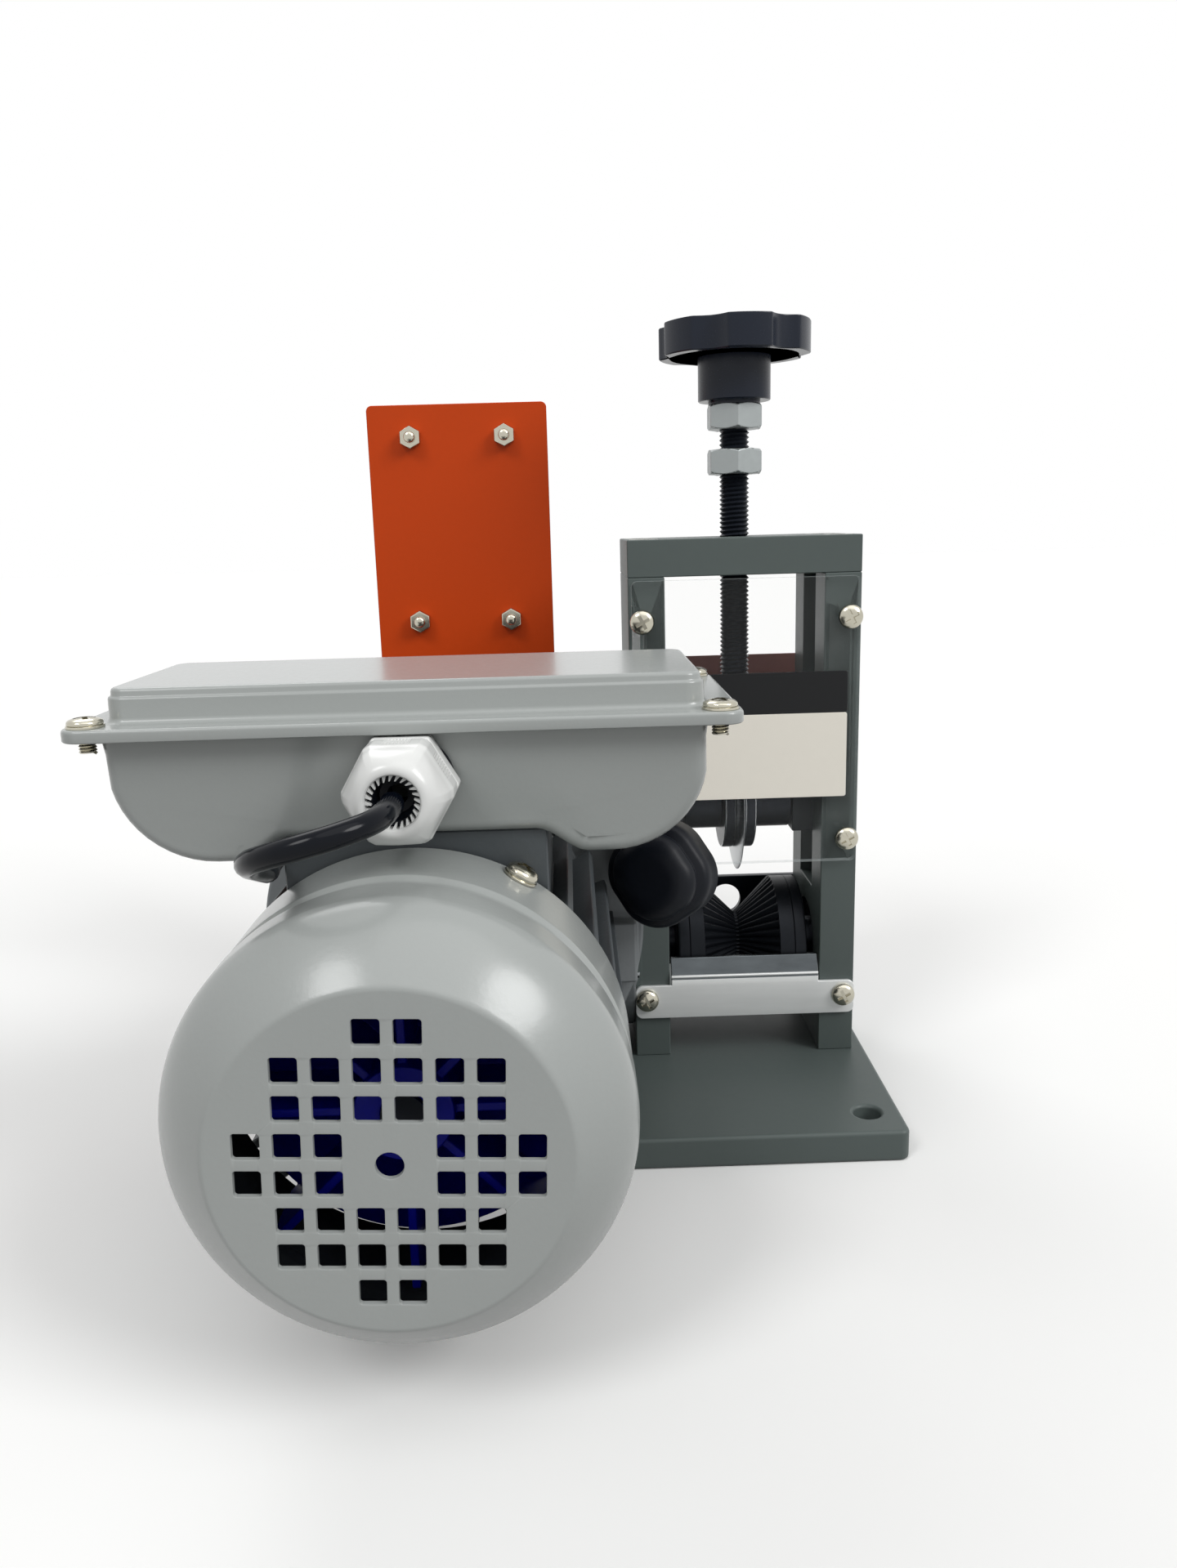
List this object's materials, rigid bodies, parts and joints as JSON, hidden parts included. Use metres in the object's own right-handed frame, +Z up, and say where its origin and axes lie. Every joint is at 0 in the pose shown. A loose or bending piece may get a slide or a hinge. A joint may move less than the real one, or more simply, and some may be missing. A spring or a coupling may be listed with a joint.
{
  "type": "electric wire stripper",
  "caption": "Bench machine that slits cable jackets: a worm-geared motor turns a toothed V roller under a round blade set by a star-knob screw, with guards, a push-button switch and a cord.",
  "frame": {"origin": "centre of the base plate's underside, on the bench", "axes": "+Z up, +X from the motor to the cutting frame, +Y from the outfeed side to the infeed side where the operator stands"},
  "size_m": [0.2135, 0.3663, 0.257],
  "materials": {
    "grey_paint": "dark grey semi-gloss enamel",
    "zinc_steel": "bright zinc plate",
    "clear_acrylic": "clear polished acrylic",
    "black_steel": "black oxide, lightly oiled",
    "bright_steel": "bright rolled sheet",
    "bearing_steel": "ground",
    "cast_aluminium": "as cast",
    "motor_paint": "light grey enamel over cast fins",
    "grey_powder": "light grey gloss powder coat",
    "core_steel": "stacked laminations",
    "copper_winding": "varnished copper wire",
    "capacitor_case": "moulded",
    "white_nylon": "moulded nylon",
    "black_rubber": "matt",
    "strap_fabric": "woven hook-and-loop strap",
    "pin_brass": "nickel-plated brass",
    "orange_paint": "orange-red gloss paint",
    "black_plastic": "moulded",
    "green_plastic": "moulded",
    "red_plastic": "moulded",
    "tool_steel": "ground and polished",
    "hardened_steel": "hardened, blackened and toothed",
    "wheel_bronze": "machined bronze",
    "fan_plastic": "moulded"
  },
  "bodies": {
    "machine": {"base_plate": "grey_paint", "left_side_plate": "grey_paint", "right_side_plate": "grey_paint", "top_crossbar": "grey_paint", "frame_bolts": "zinc_steel", "outfeed_guard": "clear_acrylic", "infeed_guard": "clear_acrylic", "pan_screws": "zinc_steel", "infeed_plate": "black_steel", "outfeed_tray": "bright_steel", "roller_bearings": "bearing_steel", "gearbox_housing": "cast_aluminium", "gearbox_covers": "cast_aluminium", "output_flange": "cast_aluminium", "gearbox_screws": "zinc_steel", "gearbox_bearings": "bearing_steel", "foot_bolts": "zinc_steel", "motor_flange": "cast_aluminium", "flange_bolts": "zinc_steel", "motor_body": "motor_paint", "rear_end_shield": "cast_aluminium", "stator_core": "core_steel", "stator_windings": "copper_winding", "motor_bearings": "bearing_steel", "fan_cover": "grey_powder", "fan_cover_screws": "zinc_steel", "terminal_box": "grey_powder", "box_lid": "grey_powder", "lid_screws": "zinc_steel", "capacitors": "capacitor_case", "gland_body": "white_nylon", "gland_nut": "white_nylon", "gland_seal": "black_rubber", "switch_plate": "orange_paint", "switch_screws": "zinc_steel", "switch_housing": "black_plastic", "switch_cable": "black_rubber", "cord_lead": "black_rubber", "cord_coil": "black_rubber", "coil_tie": "strap_fabric", "cord_tail": "black_rubber", "plug_body": "black_rubber", "plug_pins": "pin_brass"},
    "start_button": {"start_button": "green_plastic"},
    "stop_button": {"stop_button": "red_plastic"},
    "carriage": {"blade_carriage": "black_steel", "blade_bearings": "bearing_steel"},
    "screw": {"feed_screw": "black_steel", "star_knob": "black_plastic", "screw_nuts": "zinc_steel"},
    "blade": {"blade_shaft": "tool_steel", "blade_disc": "tool_steel", "blade_flanges": "tool_steel"},
    "roller": {"feed_roller": "hardened_steel", "roller_shaft": "tool_steel", "worm_wheel": "wheel_bronze"},
    "rotor": {"rotor_core": "core_steel", "motor_shaft": "tool_steel", "cooling_fan": "fan_plastic", "worm": "tool_steel"}
  },
  "joints": [
    {"name": "carriage_slide", "type": "slide", "parent": "machine", "child": "carriage", "axis": [0, 0, 1], "range_m": [-0.017, 0.02]},
    {"name": "screw_turn", "type": "hinge", "parent": "carriage", "child": "screw", "pos_m": [0.051, 0, 0.2], "axis": [0, 0, 1], "range_deg": [-4080, 4800]},
    {"name": "blade_spin", "type": "hinge", "parent": "carriage", "child": "blade", "pos_m": [0.051, 0, 0.096], "axis": [1, 0, 0], "continuous": true},
    {"name": "rotor_spin", "type": "hinge", "parent": "machine", "child": "rotor", "pos_m": [-0.045, 0, 0.07], "axis": [0, 1, 0], "continuous": true},
    {"name": "roller_spin", "type": "hinge", "parent": "machine", "child": "roller", "pos_m": [0.051, 0, 0.044], "axis": [1, 0, 0], "continuous": true},
    {"name": "start_button_press", "type": "slide", "parent": "machine", "child": "start_button", "axis": [0, -1, 0], "range_m": [0, 0.003], "stiffness_N_per_m": 600, "springref_m": -0.002},
    {"name": "stop_button_press", "type": "slide", "parent": "machine", "child": "stop_button", "axis": [0, -1, 0], "range_m": [0, 0.003], "stiffness_N_per_m": 600, "springref_m": -0.002}
  ],
  "couplings": [
    {"joint": "screw_turn", "follows": "carriage_slide", "rad_per_m": 4188.8},
    {"joint": "roller_spin", "follows": "rotor_spin", "ratio": 0.033333}
  ]
}
